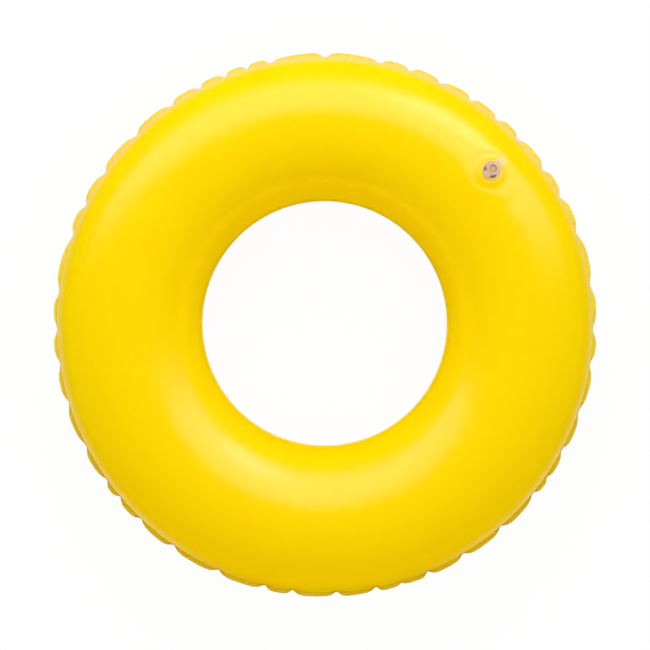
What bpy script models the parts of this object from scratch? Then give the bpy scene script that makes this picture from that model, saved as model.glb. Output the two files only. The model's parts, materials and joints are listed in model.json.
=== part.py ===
"""Swim ring: two welded films round one air tube, with a press-in mouth valve. Metres, +Z up."""
import math

import bmesh
import bpy
import numpy as np
from mathutils import Matrix, Vector

# Sizes of the air tube
HOLE_R = 0.1075  # clear hole, out to the edge of the inner weld
OUTER_R = 0.2394  # outline over the outer weld, on the crest between two folds
WELD_IN = 0.0012  # width of the welded edge in the hole
WELD_OUT = 0.0036  # width of the welded edge outside
FILM = 0.0004
GAP = 0.0003  # left between pieces that touch
ROUND = 0.65  # 1 is a round tube, 0 is film that can't stretch at all
CONTACT_FLAT = 0.0005  # how far the film is pressed flat where it lies on the floor
CONTACT_W = 0.014  # width of that flat band

# Folds round the outer weld, where the slack film gathers
FOLDS = [
    8.5, 20, 28.5, 35.5, 44, 50, 57, 64.5, 71.5, 78, 90, 102, 107, 112, 118, 125, 135, 145.5,
    153.5, 160.5, 173, 181, 188.5, 197, 207, 215.5, 220, 226.5, 235.5, 246.5, 257, 263, 272.5, 281,
    286.5, 292.5, 301, 311, 321, 325.5, 332, 341, 351.5, 359.5,
]  # degrees round the ring, from +X
SHALLOW_FOLDS = [286.5, 325.5]
FOLD_DEPTH = 0.0042  # how far the weld's edge goes in
BODY_SHARE = 0.36  # share of that depth that the film beside the weld takes
SHALLOW_SHARE = 0.45
FOLD_RUN = 0.034  # how far up the film a fold reaches from the weld
FOLD_BEND = 0.36  # share of that run where the fold has lost most of its depth
FOLD_CLEAR = 1.02  # the film is smooth from here, as a share of the run
FOLD_STEPS = [0, 0.2, 0.5, 0.8]  # columns in a fold, as shares of its width
CREST_POWER = 3  # higher makes flatter crests and sharper folds
HOLE_ROWS = 6  # rows of faces on the film's wall towards the hole
RIM_ROWS = 4  # rows from the contact band out to the folds

# Where the valve stands and how the film settles round it
VALVE_LEAN = math.radians(22.9)  # round the section from its top, towards the outer weld
VALVE_TURN = math.radians(42.9)  # round the ring from +X
SEAT_NEAR = 0.0185
SEAT_FAR = 0.034
SETTLE = 0.6  # share of the film's curve that the valve's disc takes out
PATCH_SIDES = 32
PATCH_R = 0.0205
PATCH_MARGIN = 0.003  # from that circle to the sheet's own rows

# Sizes of the valve, along its own axis from the film's outside face
FILM_HOLE_R = 0.0118
FLANGE_R = 0.0175
FLANGE_T = 0.001
NECK_T = 0.0006
NECK_RISE = [-0.0015, -0.0012, -0.0003, 0.001, 0.002, 0.0026]  # heights from the disc to the tube
NECK_SHARES = [0, 0.12, 0.3, 0.52, 0.78, 1]  # where those heights lie between disc and tube
TUBE_R = 0.0055
BORE_R = 0.004
TUBE_LOW = -0.0065
COLLAR_R = 0.0085
COLLAR_LOW = 0.0036
COLLAR_TOP = 0.005
EDGE = 0.0004  # small rounding on moulded edges
HEAD_R = 0.0054
HEAD_TOP = 0.0096
RECESS_R = 0.0037
RECESS_DEEP = 0.0016
PIN_RADII = [0.0037, 0.00365, 0.00345, 0.00315, 0.00275, 0.0022]
PIN_STEP = 0.00096
TAB_END = 0.0173
TAB_W = 0.0084
TAB_LOW = 0.007
TAB_T = 0.0012
TAB_ROOT = 0.8  # width where it leaves the head, as a share of its full width
STRAP_W = 0.006
STRAP_T = 0.0009
KNEE = Vector((-0.0096, 0, 0.006))
STRAP_BELOW = Vector((-0.0098, 0, 0.0047))
STRAP_ABOVE = [Vector((-0.009, 0, 0.0071)), Vector((-0.0075, 0, 0.0076))]
FLAP_R = 0.0049
FLAP_T = 0.0006
FLAP_PIVOT = -0.0052
FLAP_LUG_W = 0.0049

# Finish
FILM_YELLOW = (0.956, 0.66, 0.004)
VALVE_YELLOW = (0.91, 0.63, 0.03)
CLEAR_VINYL = (0.78, 0.66, 0.57)
CREASE = math.radians(38)  # edges that turn more than this stay sharp


def slack_section(inner, outer):
    """Radii and heights of a tube of film that carries no hoop tension, from seam to seam."""
    low, high = 0.0, 1.0
    for _ in range(50):
        start = (low + high) / 2
        slope = np.linspace(math.asin(start), -math.pi / 2, 2001)
        pull = 2 * (1 + start) / (outer**2 - inner**2)
        radius = np.sqrt(inner**2 + 2 * (start - np.sin(slope)) / pull)
        climb = -np.sin(slope) / (pull * radius)
        rise = (climb[1:] + climb[:-1]) / 2 * np.diff(slope)
        height = np.concatenate(([0.0], np.cumsum(rise)))
        if height[-1] > 0:
            high = start
        else:
            low = start
    return radius, height


BODY_IN = HOLE_R + WELD_IN
BODY_OUT = OUTER_R - WELD_OUT
MID_R = (BODY_IN + BODY_OUT) / 2
HALF_W = (BODY_OUT - BODY_IN) / 2
SLACK_R, SLACK_Z = slack_section(BODY_IN, BODY_OUT)


def section(turn):
    """Radius and height of the film at a turn from 0 at the hole to pi at the outer weld."""
    radius = MID_R - HALF_W * np.cos(turn)
    slack = np.interp(radius, SLACK_R, SLACK_Z)
    return radius, ROUND * HALF_W * np.sin(turn) + (1 - ROUND) * slack


SAMPLE_R, SAMPLE_Z = section(np.linspace(0, math.pi, 4001))
PEAK = float(SAMPLE_Z.max())
CROWN_R = float(SAMPLE_R[SAMPLE_Z.argmax()])
WELD_Z = GAP / 2 + FILM  # outside face of a welded edge, over the weld plane
LIFT = WELD_Z + PEAK - CONTACT_FLAT  # height of the weld plane over the floor
VALVE_SPOT = math.pi / 2 + VALVE_LEAN


def turn_at(radius):
    """The turn at which the section reaches a radius."""
    return math.acos((MID_R - radius) / HALF_W)


def round_point(radius, angle, height):
    """A point from its radius, its angle round the ring and its height."""
    return Vector((radius * math.cos(angle), radius * math.sin(angle), height))


def film_point(turn, angle, pinch, side):
    """A point on the outside of one film, drawn in by the depth of a fold."""
    nudge = 1e-4
    radius, height = section(turn)
    (r0, h0), (r1, h1) = section(turn - nudge), section(turn + nudge)
    along = Vector((r1 - r0, h1 - h0)).normalized()
    reach = (math.pi - turn) * HALF_W
    depth = BODY_SHARE * pinch * max(0.0, 1 - reach / FOLD_RUN) ** 2
    radius += along.y * depth
    height -= along.x * depth
    if side < 0:
        height = min(height, PEAK - CONTACT_FLAT)
    return round_point(radius, angle, LIFT + side * (WELD_Z + height))


def valve_frame():
    """Axes of the valve: X down the slope, Y round the ring, Z out of the film."""
    origin = film_point(VALVE_SPOT, VALVE_TURN, 0, 1)
    out = Vector((math.cos(VALVE_TURN), math.sin(VALVE_TURN), 0))
    down = (film_point(VALVE_SPOT + 1e-3, VALVE_TURN, 0, 1) - origin).normalized()
    across = Vector((-out.y, out.x, 0))
    up = down.cross(across)
    frame = Matrix((down, across, up)).transposed().to_4x4()
    frame.translation = origin
    return frame


VALVE = valve_frame()
VALVE_INVERSE = VALVE.inverted()


def settled(point):
    """A point of the top film, flattened towards the disc of the valve."""
    local = VALVE_INVERSE @ point
    near = (SEAT_FAR - math.hypot(local.x, local.y)) / (SEAT_FAR - SEAT_NEAR)
    near = min(1.0, max(0.0, near))
    local.z *= 1 - SETTLE * near * near * (3 - 2 * near)
    return VALVE @ local


def film_at_valve(u, v):
    """The point of the top film over a place in the valve's own plane."""
    flat = VALVE @ Vector((u, v, 0))
    for _ in range(8):
        radius = math.hypot(flat.x, flat.y)
        point = film_point(turn_at(radius), math.atan2(flat.y, flat.x), 0, 1)
        local = VALVE_INVERSE @ point
        flat += VALVE.to_3x3() @ Vector((u - local.x, v - local.y, 0))
    return settled(point)


def patch_circle(radius):
    """Points of the top film on a circle round the valve."""
    steps = [math.tau * i / PATCH_SIDES for i in range(PATCH_SIDES)]
    return [film_at_valve(radius * math.cos(a), radius * math.sin(a)) for a in steps]


def fold_columns():
    """Angle and fold depth of each column round the outer weld."""
    depths = [FOLD_DEPTH * (SHALLOW_SHARE if f in SHALLOW_FOLDS else 1) for f in FOLDS]
    columns = []
    for i, start in enumerate(FOLDS):
        after = (i + 1) % len(FOLDS)
        width = (FOLDS[after] - start) % 360
        for share in FOLD_STEPS:
            crest = 1 - abs(2 * share - 1) ** CREST_POWER
            depth = depths[i] if share < 0.5 else depths[after]
            columns.append((math.radians(start + share * width), depth * (1 - crest)))
    return columns


def plastic(name, colour, roughness, alpha=1.0):
    """A plain moulded or rolled plastic."""
    material = bpy.data.materials.new(name)
    material.use_nodes = True
    shader = material.node_tree.nodes["Principled BSDF"]
    shader.inputs["Base Color"].default_value = (*colour, 1)
    shader.inputs["Roughness"].default_value = roughness
    shader.inputs["Alpha"].default_value = alpha
    return material


def add_object(name, mesh, material):
    """Link a finished bmesh as a smooth object with its own material."""
    data = bpy.data.meshes.new(name)
    mesh.to_mesh(data)
    mesh.free()
    data.materials.append(material)
    data.shade_smooth()
    data.set_sharp_from_angle(angle=CREASE)
    item = bpy.data.objects.new(name, data)
    bpy.context.collection.objects.link(item)
    return item


def on_valve(item, pivot=(0, 0, 0)):
    """Stand an object modelled in the valve's frame on the valve, with its origin on a pivot."""
    item.data.transform(Matrix.Translation(-Vector(pivot)))
    item.matrix_world = VALVE @ Matrix.Translation(pivot)
    return item


def strip_faces(mesh, inner, outer, flip):
    """Quads between two closed rows of equal length."""
    count = len(inner)
    for j in range(count):
        k = (j + 1) % count
        face = [inner[j], outer[j], outer[k], inner[k]]
        mesh.faces.new(face[::-1] if flip else face)


def split_faces(mesh, inner, outer, flip):
    """Faces between a closed row and one with twice as many columns, alike on both sides of a crest."""
    count = len(inner)
    for j in range(count):
        k = (j + 1) % count
        a, b, c = outer[2 * j], outer[2 * j + 1], outer[(2 * j + 2) % len(outer)]
        if j % 2 == 0:
            faces = [[inner[j], a, b], [inner[j], b, c, inner[k]]]
        else:
            faces = [[inner[j], a, b, inner[k]], [inner[k], b, c]]
        for face in faces:
            mesh.faces.new(face[::-1] if flip else face)


def make_skin(name, side, turns, material, with_valve):
    """One film with its welded edges: a sheet of columns and rows, then thickened inwards."""
    mesh = bmesh.new()
    fine = fold_columns()
    coarse = fine[::2]
    flip = side < 0
    weld = LIFT + side * WELD_Z
    patch = None
    if with_valve:
        middle = min(range(len(coarse)), key=lambda j: abs(coarse[j][0] - VALVE_TURN))
        centre = min(range(len(turns)), key=lambda i: abs(turns[i] - VALVE_SPOT))
        patch = (centre, middle)

    def inside_patch(i, j, reach):
        return patch and abs(i - patch[0]) < reach and abs(j - patch[1]) < reach

    edge = [mesh.verts.new(round_point(HOLE_R, angle, weld)) for angle, _ in coarse]
    rows = []
    for i, turn in enumerate(turns):
        row = []
        for j, (angle, pinch) in enumerate(coarse):
            point = film_point(turn, angle, pinch, side)
            if with_valve:
                point = settled(point)
            row.append(None if inside_patch(i, j, 2) else mesh.verts.new(point))
        rows.append(row)
    strip_faces(mesh, edge, rows[0], flip)
    for i in range(len(rows) - 1):
        for j in range(len(coarse)):
            k = (j + 1) % len(coarse)
            face = [rows[i][j], rows[i + 1][j], rows[i + 1][k], rows[i][k]]
            if not (patch and -2 <= i - patch[0] < 2 and -2 <= j - patch[1] < 2):
                mesh.faces.new(face[::-1] if flip else face)

    shoulder = math.pi - FOLD_BEND * FOLD_RUN / HALF_W
    low = [mesh.verts.new(film_point(shoulder, angle, pinch, side)) for angle, pinch in fine]
    foot = [mesh.verts.new(film_point(math.pi, angle, pinch, side)) for angle, pinch in fine]
    fin = [mesh.verts.new(round_point(OUTER_R - pinch, angle, weld)) for angle, pinch in fine]
    split_faces(mesh, rows[-1], low, flip)
    strip_faces(mesh, low, foot, flip)
    strip_faces(mesh, foot, fin, flip)

    if with_valve:
        i, j = patch
        walk = [(2, 0), (2, 1), (2, 2), (1, 2), (0, 2), (-1, 2), (-2, 2), (-2, 1)]
        loop = [rows[i + a][j + b] for a, b in walk] + [rows[i - a][j - b] for a, b in walk]
        rings = [[mesh.verts.new(p) for p in patch_circle(r)] for r in (PATCH_R, FLANGE_R, FILM_HOLE_R)]
        split_faces(mesh, loop, rings[0], True)
        strip_faces(mesh, rings[0], rings[1], True)
        strip_faces(mesh, rings[1], rings[2], True)

    skin = add_object(name, mesh, material)
    thick = skin.modifiers.new("film thickness", "SOLIDIFY")
    thick.thickness = FILM
    thick.offset = -1
    thick.use_even_offset = True
    return skin


def make_skins():
    """The top film, which carries the valve, and the bottom film, which has the flat contact band."""
    last = math.pi - FOLD_CLEAR * FOLD_RUN / HALF_W
    apart = (PATCH_R + PATCH_MARGIN) / 2 / HALF_W
    first = VALVE_SPOT - 2 * apart
    top_turns = [first * i / HOLE_ROWS for i in range(HOLE_ROWS)]
    top_turns += [VALVE_SPOT + apart * i for i in (-2, -1, 0, 1, 2)] + [last]
    band = (turn_at(CROWN_R - CONTACT_W / 2), turn_at(CROWN_R + CONTACT_W / 2))
    bottom_turns = [band[0] * i / HOLE_ROWS for i in range(HOLE_ROWS)] + list(band)
    bottom_turns += [band[1] + (last - band[1]) * (i + 1) / RIM_ROWS for i in range(RIM_ROWS)]
    make_skin("top_skin", 1, top_turns, plastic("top film", FILM_YELLOW, 0.3), True)
    make_skin("bottom_skin", -1, bottom_turns, plastic("bottom film", FILM_YELLOW, 0.3), False)


def lathe(name, loop, sides, material):
    """A solid turned from a closed outline of radius and height; a radius of 0 makes a pole."""
    mesh = bmesh.new()
    rows = []
    for radius, height in loop:
        if radius == 0:
            rows.append([mesh.verts.new((0, 0, height))] * sides)
        else:
            steps = [math.tau * i / sides for i in range(sides)]
            rows.append([mesh.verts.new((radius * math.cos(a), radius * math.sin(a), height)) for a in steps])
    closed = loop[0][0] != 0
    for a in range(len(rows) if closed else len(rows) - 1):
        b = (a + 1) % len(rows)
        for j in range(sides):
            k = (j + 1) % sides
            corners = [rows[a][j], rows[b][j], rows[b][k], rows[a][k]]
            mesh.faces.new(list(dict.fromkeys(corners)))
    bmesh.ops.recalc_face_normals(mesh, faces=mesh.faces)
    return add_object(name, mesh, material)


def slab(name, outline, low, high, material):
    """A flat plate from an outline in the valve's plane."""
    mesh = bmesh.new()
    bottom = [mesh.verts.new((x, y, low)) for x, y in outline]
    top = [mesh.verts.new((x, y, high)) for x, y in outline]
    mesh.faces.new(bottom[::-1])
    mesh.faces.new(top)
    strip_faces(mesh, top, bottom, False)
    bmesh.ops.recalc_face_normals(mesh, faces=mesh.faces)
    return add_object(name, mesh, material)


def weld_in(target, other):
    """Make another mesh one with the target and drop it."""
    union = target.modifiers.new("one moulding", "BOOLEAN")
    union.operation = "UNION"
    union.solver = "EXACT"
    union.object = other
    graph = bpy.context.evaluated_depsgraph_get()
    whole = bpy.data.meshes.new_from_object(target.evaluated_get(graph))
    target.modifiers.clear()
    target.data = whole
    bpy.data.objects.remove(other)
    whole.shade_smooth()
    whole.set_sharp_from_angle(angle=CREASE)


def make_flange():
    """The valve's disc, welded under the film and bent to its curve."""
    mesh = bmesh.new()
    up = VALVE.to_3x3() @ Vector((0, 0, 1))
    inner = patch_circle(FILM_HOLE_R - GAP)
    outer = patch_circle(FLANGE_R)
    levels = (FILM + GAP, FILM + GAP + FLANGE_T)
    inner_rows = [[mesh.verts.new(p - up * level) for p in inner] for level in levels]
    outer_rows = [[mesh.verts.new(p - up * level) for p in outer] for level in levels]
    strip_faces(mesh, inner_rows[0], outer_rows[0], False)
    strip_faces(mesh, outer_rows[0], outer_rows[1], False)
    strip_faces(mesh, outer_rows[1], inner_rows[1], False)
    strip_faces(mesh, inner_rows[1], inner_rows[0], False)
    flange = add_object("valve_flange", mesh, plastic("valve disc", VALVE_YELLOW, 0.35))
    flange.data.transform(VALVE_INVERSE)
    on_valve(flange)


def make_neck():
    """The thin skirt that lets the stem be pushed in."""
    outer = FILM_HOLE_R - 2 * GAP
    inner = TUBE_R + GAP
    top = [(outer + (inner - outer) * s, h) for s, h in zip(NECK_SHARES, NECK_RISE)]
    under = [(r, h - NECK_T) for r, h in top]
    loop = top + under[::-1]
    on_valve(lathe("valve_neck", loop, PATCH_SIDES, plastic("valve skirt", VALVE_YELLOW, 0.35)))


def make_stem(clear):
    """The air tube with its collar."""
    loop = [
        (BORE_R, TUBE_LOW),
        (TUBE_R - EDGE, TUBE_LOW),
        (TUBE_R, TUBE_LOW + EDGE),
        (TUBE_R, COLLAR_LOW),
        (COLLAR_R - EDGE, COLLAR_LOW),
        (COLLAR_R, COLLAR_LOW + EDGE),
        (COLLAR_R, COLLAR_TOP - EDGE),
        (COLLAR_R - EDGE, COLLAR_TOP),
        (BORE_R, COLLAR_TOP),
    ]
    on_valve(lathe("valve_stem", loop, PATCH_SIDES, clear))


def make_plug(clear):
    """The stopper: a tapered pin under a head with a finger recess and a pull tab."""
    head_low = COLLAR_TOP + GAP
    recess = HEAD_TOP - RECESS_DEEP
    loop = [(0, recess), (RECESS_R - EDGE, recess), (RECESS_R, recess + EDGE), (RECESS_R, HEAD_TOP)]
    loop += [(HEAD_R - EDGE, HEAD_TOP), (HEAD_R, HEAD_TOP - EDGE), (HEAD_R, head_low)]
    loop += [(r, head_low - PIN_STEP * i) for i, r in enumerate(PIN_RADII)]
    loop += [(0, head_low - PIN_STEP * (len(PIN_RADII) - 1))]
    plug = lathe("valve_plug", loop, 28, clear)
    half = TAB_W / 2
    centre = TAB_END - half
    bend = [math.radians(a) for a in range(-90, 91, 15)]
    root = HEAD_R - 2 * EDGE
    outline = [(root, half * TAB_ROOT), (root, -half * TAB_ROOT)]
    outline += [(centre + half * math.cos(a), half * math.sin(a)) for a in bend]
    weld_in(plug, slab("tab", outline, TAB_LOW, TAB_LOW + TAB_T, clear))
    on_valve(plug, KNEE)


def make_strap(clear):
    """The bent strip that keeps the stopper on the collar."""
    foot = Vector((-(COLLAR_R + GAP), 0, COLLAR_LOW + 2 * EDGE))
    head = Vector((-(HEAD_R + GAP), 0, TAB_LOW + TAB_T / 2))
    middle = [foot, STRAP_BELOW, KNEE, *STRAP_ABOVE, head]
    mesh = bmesh.new()
    rows = []
    for i, point in enumerate(middle):
        before, after = middle[max(0, i - 1)], middle[min(len(middle) - 1, i + 1)]
        along = (after - before).normalized()
        side = Vector((-along.z, 0, along.x)) * STRAP_T / 2
        wide = Vector((0, STRAP_W / 2, 0))
        corners = [point + side + wide, point + side - wide, point - side - wide, point - side + wide]
        rows.append([mesh.verts.new(c) for c in corners])
    for a, b in zip(rows, rows[1:]):
        strip_faces(mesh, a, b, False)
    mesh.faces.new(rows[0])
    mesh.faces.new(rows[-1][::-1])
    bmesh.ops.recalc_face_normals(mesh, faces=mesh.faces)
    on_valve(add_object("plug_strap", mesh, clear), KNEE)


def make_flap():
    """The soft flap under the tube that holds the air while the stopper is out."""
    high = TUBE_LOW - GAP
    low = high - FLAP_T
    bend = [math.radians(a) for a in range(-135, 136, 15)]
    outline = [(FLAP_R * math.cos(a), FLAP_R * math.sin(a)) for a in bend]
    outline += [(FLAP_PIVOT, FLAP_LUG_W / 2), (FLAP_PIVOT, -FLAP_LUG_W / 2)]
    flap = slab("check_flap", outline, low, high, plastic("flap vinyl", CLEAR_VINYL, 0.4))
    on_valve(flap, (FLAP_PIVOT, 0, (low + high) / 2))


def build():
    """Clear the scene and make every piece."""
    for item in list(bpy.data.objects):
        bpy.data.objects.remove(item)
    make_skins()
    make_flange()
    make_neck()
    make_stem(plastic("stem vinyl", CLEAR_VINYL, 0.35))
    make_plug(plastic("stopper vinyl", CLEAR_VINYL, 0.35))
    make_strap(plastic("strap vinyl", CLEAR_VINYL, 0.35))
    make_flap()


build()
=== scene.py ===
# %% [markdown]
# # A blown-up swim ring, dressed
#
# The ring is two sheets of yellow vinyl film, welded to each other along the hole and along the
# outside, with a soft valve welded into the top sheet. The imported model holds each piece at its
# real size. This lesson loads it as a fixed frame and makes the surfaces that one sees: the film
# with its gathered rim, the welds, the valve, and then the studio.

# %% Load the frame
import json
import math

import bpy
import numpy as np
from mathutils import Matrix, Vector


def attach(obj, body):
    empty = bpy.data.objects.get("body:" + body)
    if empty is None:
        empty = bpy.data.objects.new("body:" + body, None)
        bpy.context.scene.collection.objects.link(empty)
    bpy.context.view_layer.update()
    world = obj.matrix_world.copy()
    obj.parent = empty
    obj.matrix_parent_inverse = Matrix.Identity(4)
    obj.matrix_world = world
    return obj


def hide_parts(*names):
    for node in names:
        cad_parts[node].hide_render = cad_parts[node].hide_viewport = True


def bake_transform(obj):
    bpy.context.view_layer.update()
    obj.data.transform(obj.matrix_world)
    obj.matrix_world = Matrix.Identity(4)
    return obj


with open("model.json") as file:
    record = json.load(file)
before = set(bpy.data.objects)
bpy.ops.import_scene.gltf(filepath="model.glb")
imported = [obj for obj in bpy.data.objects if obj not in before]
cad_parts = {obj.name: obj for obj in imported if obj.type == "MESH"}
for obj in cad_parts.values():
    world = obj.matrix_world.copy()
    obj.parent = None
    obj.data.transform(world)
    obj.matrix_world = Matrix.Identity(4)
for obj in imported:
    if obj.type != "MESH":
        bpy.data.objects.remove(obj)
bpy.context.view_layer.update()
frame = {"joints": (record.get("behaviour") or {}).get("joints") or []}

joints = {joint["name"]: joint for joint in frame["joints"]}

# %% [markdown]
# ## The section of the tube
#
# Film that is welded flat and then blown up can't stretch much, so round the outside it has too
# much length and carries no pull in that direction. All the pull then runs from weld to weld, and
# the sine of the film's slope falls evenly with the square of the radius. Real vinyl does stretch
# a little, so the true section lies between that curve and a circle. The solids were made with the
# same formula, so the skin made here lies on them.

# %% Sizes of the tube
HOLE_R = 0.1075
OUTER_R = 0.2394
WELD_IN = 0.0012
WELD_OUT = 0.0036
FILM = 0.0004
ROUND = 0.65  # 1 is a round tube, 0 is film that can't stretch at all
CONTACT_FLAT = 0.0005  # pressed in where it stands
BODY_IN = HOLE_R + WELD_IN
BODY_OUT = OUTER_R - WELD_OUT
MID_R = (BODY_IN + BODY_OUT) / 2
HALF_W = (BODY_OUT - BODY_IN) / 2

# %% The curve of slack film
HALVINGS = 50
CURVE_POINTS = 2001


def slack_section(inner, outer):
    """Radii and heights of film that carries no hoop pull, from weld to weld."""
    low, high = 0.0, 1.0
    for _ in range(HALVINGS):
        start = (low + high) / 2
        slope = np.linspace(math.asin(start), -math.pi / 2, CURVE_POINTS)
        pull = 2 * (1 + start) / (outer**2 - inner**2)
        radius = np.sqrt(inner**2 + 2 * (start - np.sin(slope)) / pull)
        climb = -np.sin(slope) / (pull * radius)
        rise = (climb[1:] + climb[:-1]) / 2 * np.diff(slope)
        height = np.concatenate(([0.0], np.cumsum(rise)))
        if height[-1] > 0:
            high = start
        else:
            low = start
    return radius, height


SLACK_R, SLACK_Z = slack_section(BODY_IN, BODY_OUT)


def section(turn):
    """Radius and height of the film at a turn from 0 at the hole to pi at the outer weld."""
    radius = MID_R - HALF_W * np.cos(turn)
    slack = np.interp(radius, SLACK_R, SLACK_Z)
    return radius, ROUND * HALF_W * np.sin(turn) + (1 - ROUND) * slack


PEAK = float(section(np.linspace(0, math.pi, 2 * CURVE_POINTS - 1))[1].max())
WELD_Z = 0.00055  # outside face of a welded edge, from the weld's middle
LIFT = WELD_Z + PEAK - CONTACT_FLAT  # height of the weld over the floor
print(f"tube {2 * HALF_W * 1000:.1f} mm wide, {2 * PEAK * 1000:.1f} mm high")

# %% [markdown]
# ## The folds round the outside
#
# The outer weld is as long as the flat sheets were round, about 1.9 m, and has to fit on a circle
# of 1.5 m. So it gathers into folds: a narrow notch with a blunt bottom, then a rounded petal. The
# places of the notches are read off the real ring, in degrees, because folds fall unevenly, and
# what lies between two notches follows one formula. The weld goes in and out by the full depth.
# The film beside it follows by a tenth of that on the near side of the ring, so the flat weld
# shows as petals outside an even tube, and by more than half of it on the far side, where each
# petal is puffed up. Each petal also leans, and lifts or drops a little.

# %% Where the folds are
FOLDS = [
    8.5, 20, 28.5, 35.5, 44, 50, 57, 64.5, 71.5, 78, 90, 102, 107, 112, 118, 125, 135, 145.5,
    153.5, 160.5, 173, 181, 188.5, 197, 207, 215.5, 220, 226.5, 235.5, 246.5, 257, 263, 272.5, 281,
    286.5, 292.5, 301, 311, 321, 325.5, 332, 341, 351.5, 359,
]
SHALLOW_FOLDS = {286.5: 0.45, 325.5: 0.45}  # share of the full depth
FOLD_DEPTH = 0.0053
LEAN_MOST = 0.0007
STRONG_LEANS = {78: 0.0011, 90: -0.0011}
LIFT_LEAST = 0.0003
LIFT_MOST = 0.0014
SEED = 7

starts = np.array(FOLDS)
widths = (np.roll(starts, -1) - starts) % 360
depths = np.array([FOLD_DEPTH * SHALLOW_FOLDS.get(fold, 1) for fold in FOLDS])
chance = np.random.default_rng(SEED)
petal_lean = chance.uniform(-LEAN_MOST, LEAN_MOST, len(FOLDS))
for fold, lean in STRONG_LEANS.items():
    petal_lean[FOLDS.index(fold)] = lean
up_or_down = np.where(np.arange(len(FOLDS)) % 2, 1, -1)
petal_lift = chance.uniform(LIFT_LEAST, LIFT_MOST, len(FOLDS)) * up_or_down
print(len(FOLDS), "folds, petals of", widths.min(), "to", widths.max(), "degrees")

# %% One column of the sheet at each step of each petal
FOLD_STEPS = [0, 0.018, 0.042, 0.08, 0.14, 0.24, 0.37, 0.5, 0.63, 0.76, 0.86, 0.92, 0.958, 0.982]
NOTCH_ROUND = 0.0006
CREASE_HALF = 0.0035
CREST_FLAT = 2.2  # the higher this power, the flatter the crest
WIDE_FLAT = 8  # degrees of width that add 1 to it
END_FLAT = 2.8  # added to it on the near and far sides
FULL_LIFT = 9  # degrees of width


def pairs(count):
    """Each number of a closed ring with the one after it."""
    return [(i, (i + 1) % count) for i in range(count)]


def petal_columns():
    """Angle, depth of the weld's outline, closeness to a notch and lift, for each column."""
    rows = []
    for i, after in pairs(len(FOLDS)):
        start, width = starts[i], widths[i]
        arc = math.radians(width) * OUTER_R
        middle = math.radians(start + width / 2)
        flatness = CREST_FLAT + width / WIDE_FLAT + END_FLAT * math.sin(middle) ** 2
        for share in FOLD_STEPS:
            off_notch = math.hypot(min(share, 1 - share) * arc, NOTCH_ROUND) - NOTCH_ROUND
            beside = max(0, 1 - 2 * off_notch / arc)
            depth = depths[i] if share < 0.5 else depths[after]
            crest = 1 - beside**flatness
            outline = depth * (1 - crest) - petal_lean[i] * (2 * share - 1) * crest
            notch = math.exp(-off_notch / CREASE_HALF) * depth / FOLD_DEPTH
            lift = petal_lift[i] * math.sin(math.pi * share) * min(1, width / FULL_LIFT)
            rows.append((math.radians(start + share * width), outline, notch, lift))
    return np.array(rows).T


ANGLES, OUTLINE, NOTCH, LIFTS = petal_columns()
columns = len(ANGLES)
print(columns, "columns, the deepest", round(OUTLINE.max() * 1000, 2), "mm in")

# %% [markdown]
# ## A point of the film
#
# One function gives any point of either film, from a turn round the section and a column. It
# draws the film in near the outer weld: by the wide wave of the petal, which dies away over 34 mm,
# by the puffed shape of the far petals, and by a narrow crease at each notch. The ring isn't quite
# even either: its hole lies a millimetre off the middle, and the tube leans a millimetre over its
# weld.

# %% The film with its folds
BODY_SHARE = 0.1  # share of the weld's outline that the film follows
FOLD_RUN = 0.034
PUFF_SHARE = 0.48  # added to it on the far side
PUFF_RUN = 0.018
PUFF_FROM = 0.1  # sine of the angle where puffed petals begin
PUFF_GROWS = 0.6
CREASE_RUN = 0.026
CREASE_DEPTH = 0.0004
LIFT_RUN = 0.022
HOLE_SHIFT = (-0.0004, 0.0013)
RIM_SHIFT = (0.0, 0.0009)
RIM_OUT = 0.0004
NUDGE = 1e-4


def smooth(share):
    """0 to 1 with level ends."""
    share = np.clip(share, 0, 1)
    return share * share * (3 - 2 * share)


def puff(angle):
    """Share of the outline that the film follows close to the weld, on the far side of the ring."""
    return PUFF_SHARE * smooth((np.sin(angle) - PUFF_FROM) / PUFF_GROWS)


def film_point(turn, angle, outline=0.0, notch=0.0, lift=0.0, side=1):
    """Points on the outside of one film, as an array whose last axis is x, y, z."""
    radius, height = section(turn)
    before, after = section(turn - NUDGE), section(turn + NUDGE)
    along_r, along_h = after[0] - before[0], after[1] - before[1]
    length = np.hypot(along_r, along_h)
    reach = (math.pi - turn) * HALF_W
    depth = BODY_SHARE * outline * np.clip(1 - reach / FOLD_RUN, 0, 1) ** 2
    depth = depth + puff(angle) * outline * np.clip(1 - reach / PUFF_RUN, 0, 1) ** 2
    depth = depth + CREASE_DEPTH * notch * np.clip(1 - reach / CREASE_RUN, 0, 1) ** 1.5
    radius = radius + along_h / length * depth
    height = height - along_r / length * depth
    if side < 0:
        height = np.minimum(height, PEAK - CONTACT_FLAT)
    wave = lift * smooth(1 - reach / LIFT_RUN)
    z = LIFT + side * (WELD_Z + height) + wave
    near_hole = smooth(1 - 2 * turn / math.pi)
    near_rim = smooth(3 * turn / math.pi - 2)
    radius = radius + RIM_OUT * near_rim
    x = radius * np.cos(angle) + HOLE_SHIFT[0] * near_hole + RIM_SHIFT[0] * near_rim
    y = radius * np.sin(angle) + HOLE_SHIFT[1] * near_hole + RIM_SHIFT[1] * near_rim
    return np.stack(np.broadcast_arrays(x, y, z), axis=-1)


print("top of the tube:", (film_point(math.pi / 2, 0.0) * 1000).round(1), "mm")

# %% [markdown]
# ## Where the valve stands
#
# The valve's own axes are worked out from the film: X down the slope, Y round the ring and Z out
# of the film. Every piece of the valve is made in these axes and then moved to the ring's. The
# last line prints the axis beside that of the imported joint.

# %% The valve's axes
VALVE_SPOT = math.pi / 2 + math.radians(22.9)  # round the section
VALVE_TURN = math.radians(42.9)  # round the ring
SLOPE_STEP = 1e-3


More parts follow.
